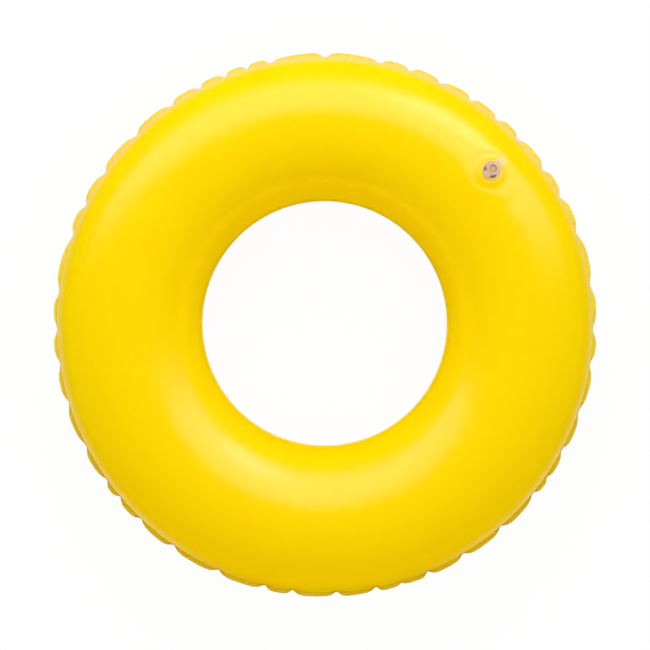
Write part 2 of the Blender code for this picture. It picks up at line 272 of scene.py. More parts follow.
def valve_frame():
    """A matrix from the valve's axes to the ring's."""
    origin = Vector(film_point(VALVE_SPOT, VALVE_TURN))
    down = (Vector(film_point(VALVE_SPOT + SLOPE_STEP, VALVE_TURN)) - origin).normalized()
    across = Vector((-math.sin(VALVE_TURN), math.cos(VALVE_TURN), 0))
    axes = Matrix((down, across, down.cross(across))).transposed().to_4x4()
    axes.translation = origin
    return axes


def in_axes(points, matrix):
    """Points moved by a 4 by 4 matrix."""
    return points @ matrix[:3, :3].T + matrix[:3, 3]


def off_axis(places):
    """How far places are from the third axis of their frame."""
    return np.hypot(places[..., 0], places[..., 1])


VALVE = valve_frame()
TO_RING = np.array(VALVE)
TO_VALVE = np.array(VALVE.inverted())
print("valve axis", [round(v, 6) for v in TO_RING[:3, 2]], "joint", joints["valve_press"]["axis"])

# %% [markdown]
# ## The film round the valve
#
# The valve's disc is stiffer than the film, so the film lies flatter for a few centimetres round
# it. Over the disc it rises to a low cone with a lip at the skirt, and the round weld, a bit more
# than a millimetre off the valve's axis, leaves a shallow groove. The film, the disc and whatever
# is cut in the film need the same shape, so one function makes it for all.

# %% How the film settles on the disc
SEAT_NEAR = 0.0185  # the film is flattest inside this
SEAT_FAR = 0.034  # and has its own curve outside this
SETTLE = 0.6  # share of the curve that the disc takes out
FILM_HOLE_R = 0.0118
WELD_RING_R = 0.0176
WELD_RING_DEEP = 0.0001
WELD_RING_HALF = 0.00042
WELD_SHIFT = np.array((-0.0003, 0.0013))
CONE_RISE = 0.0005
CONE_FOOT_R = WELD_RING_R - 0.0007
CONE_TOP_R = FILM_HOLE_R + 0.0005
LIP_RISE = 0.0007
LIP_R = 0.0136
LIP_POWER = 1.6
SEARCH_STEPS = 8


def settled(points):
    """Points of the top film, flattened round the disc and raised to a low cone over it."""
    local = in_axes(points, TO_VALVE)
    away = off_axis(local)
    near = smooth((SEAT_FAR - away) / (SEAT_FAR - SEAT_NEAR))
    height = local[..., 2] * (1 - SETTLE * near)
    across = np.hypot(local[..., 0] - WELD_SHIFT[0], local[..., 1] - WELD_SHIFT[1])
    groove = np.exp(-(((across - WELD_RING_R) / WELD_RING_HALF) ** 2))
    cone = smooth((CONE_FOOT_R - away) / (CONE_FOOT_R - CONE_TOP_R))
    lip = np.clip((LIP_R - away) / (LIP_R - FILM_HOLE_R), 0, 1) ** LIP_POWER
    height = height - WELD_RING_DEEP * groove + CONE_RISE * cone + LIP_RISE * lip
    local[..., 2] = np.where(away < SEAT_FAR, height, local[..., 2])
    return in_axes(local, TO_RING)


def film_at_valve(u, v):
    """Points of the top film over places in the valve's own plane."""
    goal = np.stack((u, v), axis=-1)
    flat = in_axes(np.stack((u, v, 0 * u), axis=-1), TO_RING)
    for _ in range(SEARCH_STEPS):
        turn = np.arccos((MID_R - off_axis(flat)) / HALF_W)
        local = in_axes(film_point(turn, np.arctan2(flat[..., 1], flat[..., 0])), TO_VALVE)
        flat = flat + (goal - local[..., :2]) @ TO_RING[:3, :2].T
    return settled(film_point(turn, np.arctan2(flat[..., 1], flat[..., 0])))


print("film on the axis:", film_at_valve(np.zeros(1), np.zeros(1)).round(4))

# %% [markdown]
# ## From rows of points to a sheet
#
# A sheet is a grid: one row of points for each turn, one column for each step round the rim. The
# rows crowd together near the welds, where the film bends fast. Then comes the flat weld itself: a
# pressed groove where the hot bar closed the film, a small bead of squeezed vinyl, and the trimmed
# edge. On the near side it turns up a little, towards the shaded wall of the tube.

# %% Rows of the sheet
HOLE_TURNS = [0, 0.004, 0.011, 0.022, 0.038, 0.058, 0.08, 0.105]
WIDE_TURNS = np.linspace(0.135, 0.79, 27)
RIM_TURNS = [0.812, 0.834, 0.855, 0.875, 0.894, 0.912, 0.928, 0.943, 0.957, 0.969, 0.979]
RIM_TURNS += [0.987, 0.993, 0.997, 1]
body_turns = math.pi * np.concatenate((HOLE_TURNS, WIDE_TURNS, RIM_TURNS))
FIN_Z = FILM + 0.00004
FIN_TURN_UP = 0.0016
EDGE_TRIM = 0.0004
EDGE_LEAST = 0.0004
# Each row: its share of the way to the edge, its rise, and how far it is pressed, where 0 is the
# film, 1 the weld and 2 the trimmed edge.
FIN_ROWS = [
    (0.1, 0.0002, 0.5), (0.22, 0.00006, 0.8), (0.34, 0, 1), (0.5, 0.00012, 0.8),
    (0.68, 0.00002, 1), (0.84, 0, 1.4), (0.95, 0.0001, 2), (1, 0, 2),
]
HOLE_ROWS = [(1, 0, 2), (0.93, 0.00005, 1.8), (0.7, 0, 1.3), (0.45, 0.00003, 0.8), (0.2, 0.00022, 0.3)]


def row_of(radius, shift, height):
    """A row of points round a middle that is off the ring's by the shift."""
    x = radius * np.cos(ANGLES) + shift[0]
    y = radius * np.sin(ANGLES) + shift[1]
    return np.stack(np.broadcast_arrays(x, y, height), axis=-1)


def fin_row(share, rise, side):
    """A row across the outer weld, from the film's foot at 0 to the trimmed edge at 1."""
    foot = BODY_OUT + RIM_OUT - (BODY_SHARE + puff(ANGLES)) * OUTLINE - CREASE_DEPTH * NOTCH
    lean = RIM_SHIFT[0] * np.cos(ANGLES) + RIM_SHIFT[1] * np.sin(ANGLES)
    edge = np.maximum(OUTER_R - EDGE_TRIM - OUTLINE, foot + lean + EDGE_LEAST)
    radius = foot + (edge - foot) * share
    turned_up = FIN_TURN_UP * share * smooth(-1.2 * np.sin(ANGLES))
    shift = (RIM_SHIFT[0] * (1 - share), RIM_SHIFT[1] * (1 - share))
    return row_of(radius, shift, LIFT + LIFTS + side * (FIN_Z + rise) + turned_up)


def hole_row(share, rise, side):
    """A row across the inner weld, from the film at 0 to the edge in the hole at 1."""
    return row_of(BODY_IN - WELD_IN * share, HOLE_SHIFT, LIFT + side * (FIN_Z + rise))


def film_rows(side):
    """All rows of one film from the hole to the outside, and how far each row is pressed."""
    rows = [hole_row(share, rise, side) for share, rise, _ in HOLE_ROWS]
    rows += [film_point(turn, ANGLES, OUTLINE, NOTCH, LIFTS, side) for turn in body_turns]
    rows += [fin_row(share, rise, side) for share, rise, _ in FIN_ROWS]
    pressed = [row[2] for row in HOLE_ROWS] + [0] * len(body_turns) + [row[2] for row in FIN_ROWS]
    return np.array(rows), np.array(pressed)


print("rows:", len(HOLE_ROWS), "and", len(FIN_ROWS), "on the welds,", len(body_turns), "between")


# %% A mesh from rows
def grid_faces(count, skip=None):
    """Corner numbers of the quads of a closed grid, without those that skip picks."""
    faces = []
    for i in range(count - 1):
        for j, k in pairs(columns):
            if skip is None or not skip(i, j):
                low, high = i * columns, (i + 1) * columns
                faces.append((low + j, high + j, high + k, low + k))
    return faces


def point_values(item, name, values):
    """Store one number for each point of a mesh, for its material to read."""
    layer = item.data.attributes.new(name, "FLOAT", "POINT")
    layer.data.foreach_set("value", np.asarray(values, dtype=np.float32))


def new_object(name, data):
    """An object of the given data, in the scene."""
    item = bpy.data.objects.new(name, data)
    bpy.context.collection.objects.link(item)
    return item


def mesh_object(name, points, faces, sharp=None, pressed=None):
    """A smooth mesh object of the given points and faces, without loose points."""
    used = sorted({corner for face in faces for corner in face})
    place = {old: new for new, old in enumerate(used)}
    data = bpy.data.meshes.new(name)
    data.from_pydata([points[i] for i in used], [], [[place[c] for c in face] for face in faces])
    data.shade_smooth()
    if sharp:
        data.set_sharp_from_angle(angle=math.radians(sharp))
    item = new_object(name, data)
    if pressed is not None:
        point_values(item, "weld_and_shade", np.array(pressed)[used])
    print(f"{name}: {len(faces)} faces")
    return item


def thicken(item):
    """Give a sheet the film's thickness, inwards from the side that shows."""
    solid = item.modifiers.new("film thickness", "SOLIDIFY")
    solid.thickness = FILM
    solid.offset = -1


# %% [markdown]
# ## The bottom film
#
# The bottom film is the plain one: no valve, and pressed flat in a narrow band where the ring
# stands. The grid runs the same way on both films, so its faces are turned over to face out.

# %% Make the bottom film
rows, pressed = film_rows(-1)
faces = [face[::-1] for face in grid_faces(len(rows))]
bottom_film = mesh_object("bottom_film", rows.reshape(-1, 3), faces, pressed=np.repeat(pressed, columns))
thicken(bottom_film)

# %% [markdown]
# ## The top film with the valve's opening
#
# The top film needs a clean round hole, and circles of points round it so that the valve's weld
# reads as a true circle. So a square patch is left out of the grid, and rings of points lead from
# the patch's edge to the hole. This keeps quads all over and needs no Boolean, whose long thin
# faces would show in the gloss.

# %% Leave a patch out of the grid
PATCH_HALF = 0.0228
PATCH_LOW = -0.02  # film further down the valve's axis isn't beside it

rows, pressed = film_rows(1)
flat_rows = settled(rows)
seen = in_axes(flat_rows, TO_VALVE)
near_valve = (np.max(np.abs(seen[..., :2]), axis=-1) < PATCH_HALF) & (seen[..., 2] > PATCH_LOW)
spots = np.argwhere(near_valve)
(top_row, left_column), (low_row, right_column) = spots.min(0) - 1, spots.max(0) + 1
print("patch rows", top_row, low_row, "columns", left_column, right_column)


def in_patch(i, j):
    """True for the quads that the patch leaves out."""
    return top_row <= i < low_row and left_column <= j < right_column


# %% Rings from the patch to the hole
RINGS = [0.0212, 0.0202, 0.0194, 0.0188, 0.0183, 0.0180, 0.0178, 0.0176, 0.0174, 0.0172, 0.0169]
RINGS += [0.0166, 0.0163, 0.0159, 0.0153, 0.0145, 0.0137, 0.0129, 0.0123, FILM_HOLE_R]
SHIFTED_R = WELD_RING_R - 0.0004  # from here out the rings run round the weld's middle
FROM_EDGE = 0.45  # share of the patch's own edge in the ring beside it

loop = [(top_row, j) for j in range(left_column, right_column)]
loop += [(i, right_column) for i in range(top_row, low_row)]
loop += [(low_row, j) for j in range(right_column, left_column, -1)]
loop += [(i, left_column) for i in range(low_row, top_row, -1)]
edge = np.array([seen[i, j, :2] for i, j in loop])
bearing = np.unwrap(np.arctan2(edge[:, 1], edge[:, 0]))
even = bearing[0] + (np.arange(len(loop)) / len(loop)) * math.tau * np.sign(bearing[-1] - bearing[0])
spokes = 0.5 * bearing + 0.5 * even


def circle_places(radius):
    """Places in the valve's plane of one ring of points."""
    aside = min(1, (radius - FILM_HOLE_R) / (SHIFTED_R - FILM_HOLE_R))
    return np.stack((np.cos(spokes), np.sin(spokes)), axis=-1) * radius + WELD_SHIFT * aside


# %% Make the top film
LINE_HALF = 0.0003  # half the width of the line that the round weld shows
LINE_LEAST = 0.3
# Past its least strength the weld's line is painted shade, strongest on one side of the valve.
LINE_SHADE_MORE = 2.6  # added to it where the line is darkest
LINE_SHADE_TURN = 0.3

points = list(flat_rows.reshape(-1, 3))
weld_and_shade_values = list(np.repeat(pressed, columns))
faces = grid_faces(len(rows), in_patch)
before = [i * columns + j for i, j in loop]
# The weld's own mark, plus painted shade on one side of the valve.
line = LINE_LEAST + LINE_SHADE_MORE * np.clip(np.sin(spokes + LINE_SHADE_TURN), 0, 1) ** 2
half_way = edge * FROM_EDGE + circle_places(RINGS[0]) * (1 - FROM_EDGE)
for radius, places in [(math.inf, half_way)] + [(radius, circle_places(radius)) for radius in RINGS]:
    now = list(range(len(points), len(points) + len(loop)))
    points += list(film_at_valve(places[:, 0], places[:, 1]))
    on_weld = math.exp(-(((radius - WELD_RING_R) / LINE_HALF) ** 2))
    weld_and_shade_values += list(on_weld * line)
    faces += [(before[b], before[a], now[a], now[b]) for a, b in pairs(len(loop))]
    before = now

top_film = mesh_object("top_film", points, faces, pressed=weld_and_shade_values)
thicken(top_film)

# %% [markdown]
# ## The valve's moulding
#
# The valve is one soft moulding: a disc under the film, a thin skirt that rises to the stem, the
# stem's collar, and the stopper on its strap. Turned pieces are spun from an outline of radius and
# height, with rounded corners, since a moulding has no sharp edge. The seams between the pieces
# stay as fine gaps.

# %% Turn an outline
ON_AXIS = 1e-9


def valve_points(points):
    """Points in the valve's axes, moved to the ring's."""
    return in_axes(np.asarray(points, dtype=float), TO_RING)


def round_corners(outline, size, steps=3):
    """A closed outline with each corner cut into a small arc; a point on the axis stays."""
    result = []
    count = len(outline)
    for i in range(count):
        here = np.array(outline[i], dtype=float)
        if outline[i][0] == 0:
            result.append(tuple(here))
            continue
        before = np.array(outline[i - 1]) - here
        after = np.array(outline[(i + 1) % count]) - here
        reach = min(size, 0.45 * np.linalg.norm(before), 0.45 * np.linalg.norm(after))
        start = here + before / np.linalg.norm(before) * reach
        end = here + after / np.linalg.norm(after) * reach
        for step in range(steps + 1):
            t = step / steps
            result.append(tuple((1 - t) ** 2 * start + 2 * t * (1 - t) * here + t**2 * end))
    return result


def turned(name, outline, sides, follow=None):
    """A piece turned round the valve's axis from a closed outline of radius, height and share."""
    points, faces, rows = [], [], []
    for radius, height, *share in outline:
        if radius < ON_AXIS:
            rows.append([len(points)] * sides)
            points.append((0, 0, height))
            continue
        rows.append(list(range(len(points), len(points) + sides)))
        for i in range(sides):
            angle = math.tau * i / sides
            rise = share[0] * follow[i] if share else 0
            points.append((radius * math.cos(angle), radius * math.sin(angle), height + rise))
    ends_meet = outline[0][0] > ON_AXIS
    for a, b in pairs(len(rows))[:None if ends_meet else -1]:
        for i, k in pairs(sides):
            faces.append(list(dict.fromkeys((rows[a][i], rows[a][k], rows[b][k], rows[b][i]))))
    return mesh_object(name, valve_points(points), faces)


# %% [markdown]
# ## The disc under the film
#
# The disc is welded to the inside of the film, so its upper face has to follow the film's curve.
# Each of its circles of points is laid on the film and then dropped along the valve's axis.

# %% Make the disc
FLANGE_R = 0.0175
FLANGE_T = 0.001
FLANGE_EDGE = 0.0003
SEAT_GAP = 0.0001
SIDES = 96


def disc_points(radius, drop):
    """A circle that keeps under the film at a given drop."""
    angles = np.arange(SIDES) * math.tau / SIDES
    ring = film_at_valve(radius * np.cos(angles), radius * np.sin(angles))
    return ring - TO_RING[:3, 2] * drop


drop = FILM + SEAT_GAP
under = drop + FLANGE_T
disc_inner = FILM_HOLE_R + 0.0007
profile = [(radius, drop) for radius in (disc_inner, 0.0137, 0.0153, 0.0166, FLANGE_R - 0.0002)]
profile += [(FLANGE_R, drop + FLANGE_EDGE), (FLANGE_R, under - FLANGE_EDGE)]
profile += [(FLANGE_R - FLANGE_EDGE, under), (0.0145, under), (disc_inner, under)]
points = np.concatenate([disc_points(radius, low) for radius, low in profile])
faces = []
for a, b in pairs(len(profile)):
    faces += [(a * SIDES + i, b * SIDES + i, b * SIDES + k, a * SIDES + k) for i, k in pairs(SIDES)]
valve_disc = mesh_object("valve_disc", points, faces, sharp=50)

# %% [markdown]
# ## The skirt
#
# The skirt is the thin cone that folds in when the stem is pressed. Its foot follows the edge of
# the film's hole, which isn't level, so each point of its outline has a third number: its share of
# the film's own height.

# %% Make the skirt
NECK_T = 0.0006
SKIRT_TOP = [
    (0.0122, -0.0010, 1), (0.0118, -0.0008, 1), (0.0117, -0.0001, 1), (0.0115, 0.0003, 1),
    (0.0112, 0.00045, 1), (0.0108, 0.00058, 0.9), (0.0103, 0.00075, 0.7), (0.0098, 0.00098, 0.45),
    (0.0093, 0.0013, 0.2), (0.0089, 0.0017, 0), (0.0084, 0.0022, 0), (0.0077, 0.0025, 0),
    (0.0068, 0.0027, 0), (0.0058, 0.0029, 0),
]

skirt_under = [(radius, height - NECK_T, share) for radius, height, share in SKIRT_TOP]
film_edge = in_axes(disc_points(FILM_HOLE_R, 0.0), TO_VALVE)[:, 2]
print("film's edge over the valve's plane:", (film_edge[::24] * 1000).round(2), "mm")
valve_skirt = turned("valve_skirt", SKIRT_TOP + skirt_under[::-1], SIDES, film_edge)

# %% [markdown]
# ## The stem and its collar
#
# The stem is the tube one blows into. On both sides of the strap its collar has a small dent,
# where one can see down beside the stopper, pressed into the circles of points on its top. Stored
# numbers tell the material where the vinyl is thin, and where one looks deep into it, which gets
# painted shade: in the dents and round the bore.

# %% Make the stem
TUBE_R = 0.0055
BORE_R = 0.004
TUBE_LOW = -0.0065
COLLAR_R = 0.0085
COLLAR_LOW = 0.0036
COLLAR_TOP = 0.005
COLLAR_CIRCLES = [0.0077 - 0.0003 * i for i in range(11)]
MOULDED_EDGE = 0.0005

stem = [(BORE_R, TUBE_LOW), (TUBE_R, TUBE_LOW), (TUBE_R, COLLAR_LOW), (COLLAR_R, COLLAR_LOW)]
stem += [(radius, COLLAR_TOP) for radius in (COLLAR_R, *COLLAR_CIRCLES, BORE_R)]
valve_stem = turned("valve_stem_moulded", round_corners(stem, MOULDED_EDGE), SIDES)

# %% Press the dents
DENTS = [(-125, 30), (130, 14)]  # bearing of each dent's middle and half its width, in degrees
DENT_SOFT = 18  # degrees over which its ends rise
DENT_R = 0.0062
DENT_HALF = 0.0012
DENT_WALL = 0.0008
DENT_DEEP = 0.0011
DENT_SHADE = 1.8
RIM_BAND = 0.0009
SHADE_RUN = 0.001


def places_in_valve(item):
    """The points of a mesh in the valve's axes."""
    return in_axes(np.array([tuple(v.co) for v in item.data.vertices]), TO_VALVE)


spots = places_in_valve(valve_stem)
away = off_axis(spots)
bearing = np.degrees(np.arctan2(spots[:, 1], spots[:, 0]))
dent = np.zeros(len(spots))
for middle, half in DENTS:
    off = np.abs((bearing - middle + 180) % 360 - 180)
    wall = smooth((DENT_HALF - np.abs(away - DENT_R)) / DENT_WALL)
    dent += smooth((half - off) / DENT_SOFT + 0.5) * wall
dent *= spots[:, 2] > COLLAR_TOP - 0.0001
spots[:, 2] -= DENT_DEEP * dent
for vertex, place in zip(valve_stem.data.vertices, in_axes(spots, TO_RING)):
    vertex.co = place
# Painted shade: dark in the dents and near the bore, where one looks deep into the collar.
bore_shade = smooth((TUBE_R + 0.0005 - away) / SHADE_RUN)
point_values(valve_stem, "thin_and_highlight", smooth((away - COLLAR_R + RIM_BAND) / SHADE_RUN) * 0.5)
point_values(valve_stem, "deep_shade", np.maximum(dent * DENT_SHADE, bore_shade))
print("dents:", round(dent.max() * DENT_DEEP * 1000, 2), "mm deep")

# %% [markdown]
# ## The stopper and its tab
#
# The stopper's head has a finger recess and, towards the outside of the ring, a thin tab to pull,
# which rises a little to stay above the film while the valve is pressed in. Head and tab are two
# closed shapes, joined by a Boolean while they are small and simple.

# %% Turn the stopper's head and pin
HEAD_R = 0.0054
HEAD_TOP = 0.0096
HEAD_LOW = COLLAR_TOP + 0.0003
HEAD_EDGE = 0.00045
RECESS_R = 0.0037
RECESS_DEEP = 0.0016
PIN_RADII = [0.0037, 0.00365, 0.00345, 0.00315, 0.00275, 0.0022]
PIN_STEP = 0.00096

recess_floor = HEAD_TOP - RECESS_DEEP
head = [(0, recess_floor + 0.0002), (0.0011, recess_floor + 0.00015), (0.0016, recess_floor)]
head += [(RECESS_R, recess_floor), (RECESS_R, HEAD_TOP), (HEAD_R, HEAD_TOP), (HEAD_R, HEAD_LOW)]
head += [(radius, HEAD_LOW - PIN_STEP * i) for i, radius in enumerate(PIN_RADII)]
head += [(0, HEAD_LOW - PIN_STEP * (len(PIN_RADII) - 1))]
stopper = turned("stopper", round_corners(head, HEAD_EDGE), 72)


# %% Make a flat shape, and join two solids
def flat_shape(name, outline, low, high, rounding, slope=0.0):
    """A plate from an outline in the valve's plane, with a rounded edge, rising along X by the slope."""
    outline = np.array(outline)
    start = outline[:, 0].min()
    centre = outline.mean(0)
    count = len(outline)
    edge = [(2, 0), (1, 0), (0.3, 0.3), (0, 1)]
    levels = [(inset * rounding, low + rise * rounding) for inset, rise in edge]
    levels += [(inset * rounding, high - rise * rounding) for inset, rise in reversed(edge)]
    points = []
    for inset, height in levels:
        pulled = outline + (centre - outline) * (inset / np.linalg.norm(outline - centre, axis=1)[:, None])
        points += [(x, y, height + slope * (x - start)) for x, y in pulled]
    last = (len(levels) - 1) * count
    faces = [list(range(count))[::-1], list(range(last, last + count))]
    for below in range(0, last, count):
        above = below + count
        faces += [(below + i, below + k, above + k, above + i) for i, k in pairs(count)]
    return mesh_object(name, valve_points(points), faces)


def join_solids(target, other):
    """Make another closed mesh one with the target and drop it."""
    union = target.modifiers.new("one moulding", "BOOLEAN")
    union.operation = "UNION"
    union.solver = "EXACT"
    union.object = other
    graph = bpy.context.evaluated_depsgraph_get()
    whole = bpy.data.meshes.new_from_object(target.evaluated_get(graph))
    target.modifiers.clear()
    target.data = whole
    bpy.data.objects.remove(other)
    whole.shade_smooth()
    whole.set_sharp_from_angle(angle=math.radians(50))


# %% Add the tab
TAB_END = 0.0149
TAB_W = 0.0084
TAB_T = 0.0012
TAB_LOW = 0.0075
TAB_SLOPE = 0.13
TAB_EDGE = 0.0003
TAB_IN = HEAD_R - 0.0008  # inside the head
TAB_ROOT = 0.8  # share of its width there

half = TAB_W / 2
bend = np.radians(np.arange(-90, 91, 7.5))
tab_outline = [(TAB_IN, half * TAB_ROOT), (TAB_IN, -half * TAB_ROOT)]
tab_outline += [(TAB_END - half + half * math.cos(a), half * math.sin(a)) for a in bend]
join_solids(stopper, flat_shape("tab", tab_outline, TAB_LOW, TAB_LOW + TAB_T, TAB_EDGE, TAB_SLOPE))
print("joined:", len(stopper.data.polygons), "faces")

# %% Mark the recess's painted shade and the tab for the material
RECESS_SHADE = 0.6  # share by which its middle is lighter

spots = places_in_valve(stopper)
away = off_axis(spots)
shaded_recess = smooth((HEAD_TOP + 0.0003 - spots[:, 2]) / 0.0009) * (away < RECESS_R + 0.0002)
shaded_recess = shaded_recess * (spots[:, 2] > recess_floor - 0.0006)
# Painted shade in the finger recess, lighter in its middle.
point_values(stopper, "deep_shade", shaded_recess * (1 - RECESS_SHADE * smooth((0.0024 - away) / 0.0014)))
point_values(stopper, "thin_and_highlight", smooth((spots[:, 0] - HEAD_R - 0.0002) / 0.004))

# %% [markdown]
# ## The strap
#
# The strap is a strip swept along a short curve from the collar to the head, and bowed across like
# the round collar. It is a piece of its own because it bends when the stopper is swung open.

# %% Make the strap
STRAP_W = 0.0066
STRAP_T = 0.0009
STRAP_SIDES = 16
END_BOW = 0.0070  # radius of the bow
KNEE_BOW = 0.0043
KNEE_RUN = 0.0024
ROUTE_SMOOTHING = 6
STRAP_ROUTE = [
    (-0.0088, 0, 0.0044), (-0.0096, 0, 0.0047), (-0.01, 0, 0.0056), (-0.0097, 0, 0.0068),
    (-0.0088, 0, 0.0079), (-0.0076, 0, 0.0086), (-0.0057, 0, 0.0088),
]


def strap_shape(name, route, width, thickness, steps=24):
    """A rounded strip along a smooth curve through the route, bowed across, most at its knee."""
    route = np.array(route)
    at = np.linspace(0, 1, len(route))
    t = np.linspace(0, 1, steps)
    line = np.stack([np.interp(t, at, route[:, axis]) for axis in range(3)], axis=-1)
    for _ in range(ROUTE_SMOOTHING):
        line[1:-1] = (line[:-2] + 2 * line[1:-1] + line[2:]) / 4
    along = np.gradient(line, axis=0)
    along /= np.linalg.norm(along, axis=1)[:, None]
    ring = [math.tau * (i + 0.5) / STRAP_SIDES for i in range(STRAP_SIDES)]
    points = []
    for place, way in zip(line, along):
        at_knee = smooth(1 - (place[0] - line[:, 0].min()) / KNEE_RUN)
        bow = END_BOW + (KNEE_BOW - END_BOW) * at_knee
        side = np.array((-way[2], 0, way[0]))
        for a in ring:
            out = np.sign(math.cos(a)) * abs(math.cos(a)) ** 0.6
            up = np.sign(math.sin(a)) * abs(math.sin(a)) ** 0.7
            across = out * width / 2
            back = bow - math.sqrt(bow**2 - across**2)
            points.append(place + side * up * thickness / 2 + np.array((back, across, 0)))
    last = (steps - 1) * STRAP_SIDES
    faces = []
    for here in range(0, last, STRAP_SIDES):
        there = here + STRAP_SIDES
        faces += [(here + i, there + i, there + k, here + k) for i, k in pairs(STRAP_SIDES)]
    faces += [list(range(STRAP_SIDES)), list(range(last, last + STRAP_SIDES))[::-1]]
    return mesh_object(name, valve_points(points), faces, sharp=60)


strap = strap_shape("stopper_strap", STRAP_ROUTE, STRAP_W, STRAP_T)
# The strap's lower bend is tinted pale yellow: yellow showing through the clear vinyl, and a painted
# highlight.
point_values(strap, "thin_and_highlight", 0.5 * smooth((0.0068 - places_in_valve(strap)[:, 2]) / 0.0012))

# %% [markdown]
# ## The flap inside
#
# Under the stem hangs a soft round flap with a short lug, which the air presses shut while the
# stopper is out. It is hidden in the ring, but it moves, so it is made.

# %% Make the flap
FLAP_R = 0.0049
FLAP_T = 0.0006
FLAP_EDGE = 0.00015
FLAP_PIVOT = -0.0052
FLAP_LUG_HALF = 0.00245

bend = np.radians(np.arange(-135, 136, 9))
flap_outline = [(FLAP_R * math.cos(a), FLAP_R * math.sin(a)) for a in bend]
flap_outline += [(FLAP_PIVOT, FLAP_LUG_HALF), (FLAP_PIVOT, -FLAP_LUG_HALF)]
flap_high = TUBE_LOW - 0.0003
flap = flat_shape("check_flap_soft", flap_outline, flap_high - FLAP_T, flap_high, FLAP_EDGE)

# %% [markdown]
# ## Shader maths as plain sums
#
# A material is a graph of nodes, and a long row of Math nodes is hard to read. The small class
# below wraps one socket, so that a sum written in Python adds its Math node. Any other node comes
# from one method, which sets the node up first and then fills its sockets with numbers or links.


# %% The class that wraps a socket
def sums(operation, swapped=False):
    """A method that adds the Math node of one operation."""

    def method(self, other):
        left, right = (other, self) if swapped else (self, other)
        return self.paint.node("ShaderNodeMath", {"operation": operation}, {0: left, 1: right})

    return method


class Wire:
    """One output in a material, on which sums work as they do on numbers."""

    def __init__(self, paint, socket):
        self.paint, self.socket = paint, socket

    __add__ = __radd__ = sums("ADD")
    __mul__ = __rmul__ = sums("MULTIPLY")
    __sub__ = sums("SUBTRACT")
    __rsub__ = sums("SUBTRACT", swapped=True)
    __truediv__ = sums("DIVIDE")
    __pow__ = sums("POWER")


# %% The class that makes a material
class Paint:
    """A material that is being made: its graph and its one glossy plastic shader."""

    def __init__(self, name, **constants):
        self.material = bpy.data.materials.new(name)
        self.material.use_nodes = True
        self.graph = self.material.node_tree
        self.shader = self.graph.nodes["Principled BSDF"]
        for socket, value in constants.items():
            self.shader.inputs[socket.replace("_", " ")].default_value = value

    def fill(self, socket, value):
        """Set or link one socket."""
        if isinstance(value, Wire):
            self.graph.links.new(value.socket, socket)
        else:
            socket.default_value = value

    def node(self, kind, settings=None, inputs=None, output=0):
        """Add a node, set it up, fill its sockets and give one of its outputs."""
        made = self.graph.nodes.new(kind)
        for key, value in (settings or {}).items():
            setattr(made, key, value)
        for key, value in (inputs or {}).items():
            self.fill(made.inputs[key], value)
        return Wire(self, made.outputs[output])

    def mix(self, share, one, other):
        """A colour between two colours."""
        colours = {"Factor": share, 6: one, 7: other}
        return self.node("ShaderNodeMix", {"data_type": "RGBA"}, colours, 2)

    def noise(self, scale, detail=2.0, roughness=0.5):
        """Soft random values round 0.5, with detail at a scale per metre."""
        inputs = {"Vector": self.place(), "Scale": scale, "Detail": detail, "Roughness": roughness}
        return self.node("ShaderNodeTexNoise", {}, inputs)

    def place(self):
        """The place on the piece, which moves with it."""
        return self.node("ShaderNodeTexCoord", {}, {}, "Object")

    def length(self, vector):
        """The length of a vector."""
        return self.node("ShaderNodeVectorMath", {"operation": "LENGTH"}, {0: vector}, "Value")

    def part(self, vector, axis):
        """One of the three numbers of a vector."""
        return self.node("ShaderNodeSeparateXYZ", {}, {"Vector": vector}, axis)

    def step(self, value, low, high):
        """0 below low, 1 above high, smooth between."""
        inputs = {"Value": value, "From Min": low, "From Max": high}
        return self.node("ShaderNodeMapRange", {"interpolation_type": "SMOOTHSTEP"}, inputs)

    def stored(self, name):
        """Numbers that were stored on the mesh."""
        return self.node("ShaderNodeAttribute", {"attribute_name": name}, {}, "Fac")

    def shape(self, height, distance, under=None):
        """Bend the surface's normal by a height in metres times a share."""
        inputs = {"Height": height, "Distance": distance}
        if under:
            inputs["Normal"] = under
        return self.node("ShaderNodeBump", {}, inputs)

    def finish(self, **links):
        """Link what changes over the surface and hand the material over."""
        for socket, value in links.items():
            self.fill(self.shader.inputs[socket.replace("_", " ")], value)
        return self.material

    def show(self, surface):
        """Use another shader in place of the glossy one and hand the material over."""
        self.graph.nodes.remove(self.shader)
        self.fill(self.graph.nodes["Material Output"].inputs["Surface"], surface)
        return self.material


def give_material(material, *items):
    """Make a material the only one of each piece."""
    for item in items:
        item.data.materials.clear()
        item.data.materials.append(material)
    print(material.name, "on", ", ".join(item.name for item in items))


# %% [markdown]
# ## The yellow film
#
# The film is soft vinyl with a strong yellow pigment: glossy, a little uneven from the rollers,
# and thin enough to glow. Light sinks in and wanders, red light furthest, so its shaded sides
# turn orange and not grey. Subsurface scattering does that, and the thin wall lets some light into
# the air space. The weld is pressed thin and a little paler, and the trimmed edge is the darkest
# line. Round the valve the weld's line is darker on one side, and that part is painted shade. A
# few short creases are left from when the film was folded.

# %% Make the film's material
YELLOW = (0.825, 0.607, 0.001, 1)
YELLOW_DEEP = (0.815, 0.582, 0.001, 1)
YELLOW_WELD = (0.88, 0.71, 0.05, 1)
# The trimmed edge's own dark colour, also used as painted shade on one side of the valve's weld line.
EDGE_AND_WELD_SHADE = (0.5, 0.48, 0.03, 1)
GLOWING = {"Subsurface_Weight": 1.0, "Subsurface_Radius": (1.0, 0.7, 0.05), "Subsurface_Scale": 0.0004}
CREASE_WIDE = 0.0007
CREASE_HIGH = 0.00012
CREASES = [  # x, y, bearing in degrees and half the length
    (-0.1566, -0.0458, 70, 0.0045), (0.1425, 0.1153, -35, 0.003), (0.161, 0.1117, -60, 0.0025),
    (0.1936, 0.029, 80, 0.0035), (-0.061, 0.171, 15, 0.003), (0.034, -0.188, -10, 0.0035),
]


